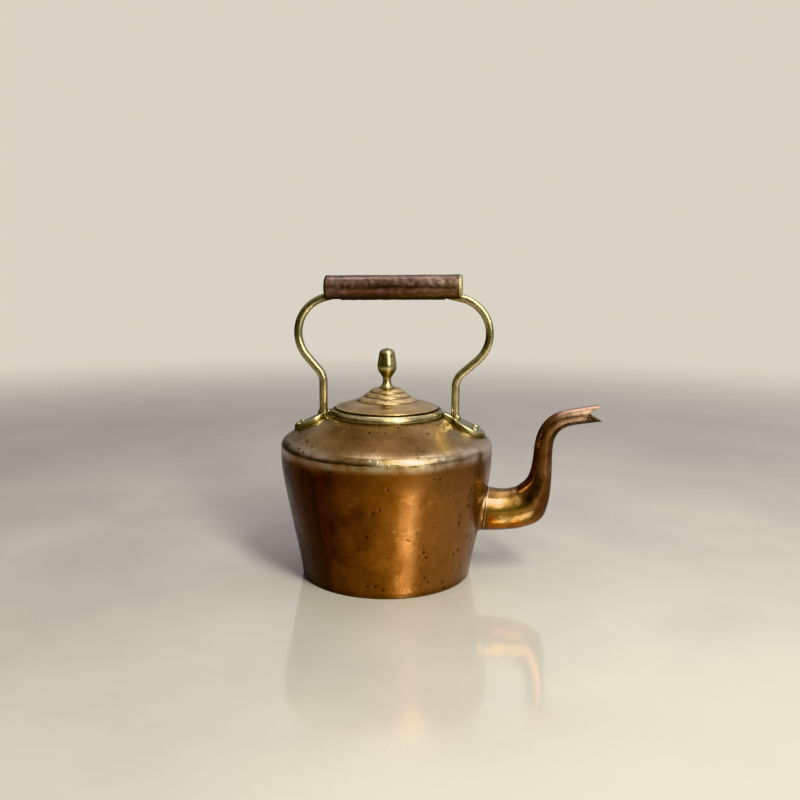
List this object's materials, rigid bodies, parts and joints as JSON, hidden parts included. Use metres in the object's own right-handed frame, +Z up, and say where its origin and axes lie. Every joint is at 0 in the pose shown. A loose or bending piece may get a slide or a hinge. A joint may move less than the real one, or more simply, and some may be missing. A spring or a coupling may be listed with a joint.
{
  "type": "kettle",
  "caption": "Copper kettle with a tapered round body, swan-neck spout, brass strap handle with a tubular grip, and a stepped lift-off lid with an acorn knob.",
  "frame": {"origin": "centre of the flat base, on the axis of the round body", "axes": "+Z up, +X from the body's axis towards the spout, +Y to the left of the spout; the handle lies in the XZ plane"},
  "size_m": [0.3065, 0.2046, 0.2906],
  "materials": {
    "copper": "aged copper, satin, brown patina",
    "dark_copper": "dark brown patinated copper, handled smooth",
    "brass": "aged yellow brass with dark edges",
    "tinned": "worn tinned copper"
  },
  "bodies": {
    "kettle": {"base_plate": "copper", "body_wall": "copper", "shoulder": "copper", "mouth_collar": "brass", "spout_flange": "copper", "spout": "dark_copper", "handle_foot_rear": "brass", "handle_foot_front": "brass", "foot_rivets": "brass", "rivet_roves": "copper", "handle_bar": "brass", "grip_tube": "dark_copper", "grip_cap_rear": "dark_copper", "grip_cap_front": "tinned"},
    "lid_seat": {"lid_skirt": "copper"},
    "lid": {"lid_cover": "copper", "lid_knob": "brass", "knob_washer": "brass"}
  },
  "joints": [
    {"name": "lid_lift", "type": "slide", "parent": "kettle", "child": "lid_seat", "axis": [0, 0, 1], "range_m": [0, 0.04]},
    {"name": "lid_turn", "type": "hinge", "parent": "lid_seat", "child": "lid", "pos_m": [0, 0, 0.1622], "axis": [0, 0, 1], "continuous": true}
  ]
}
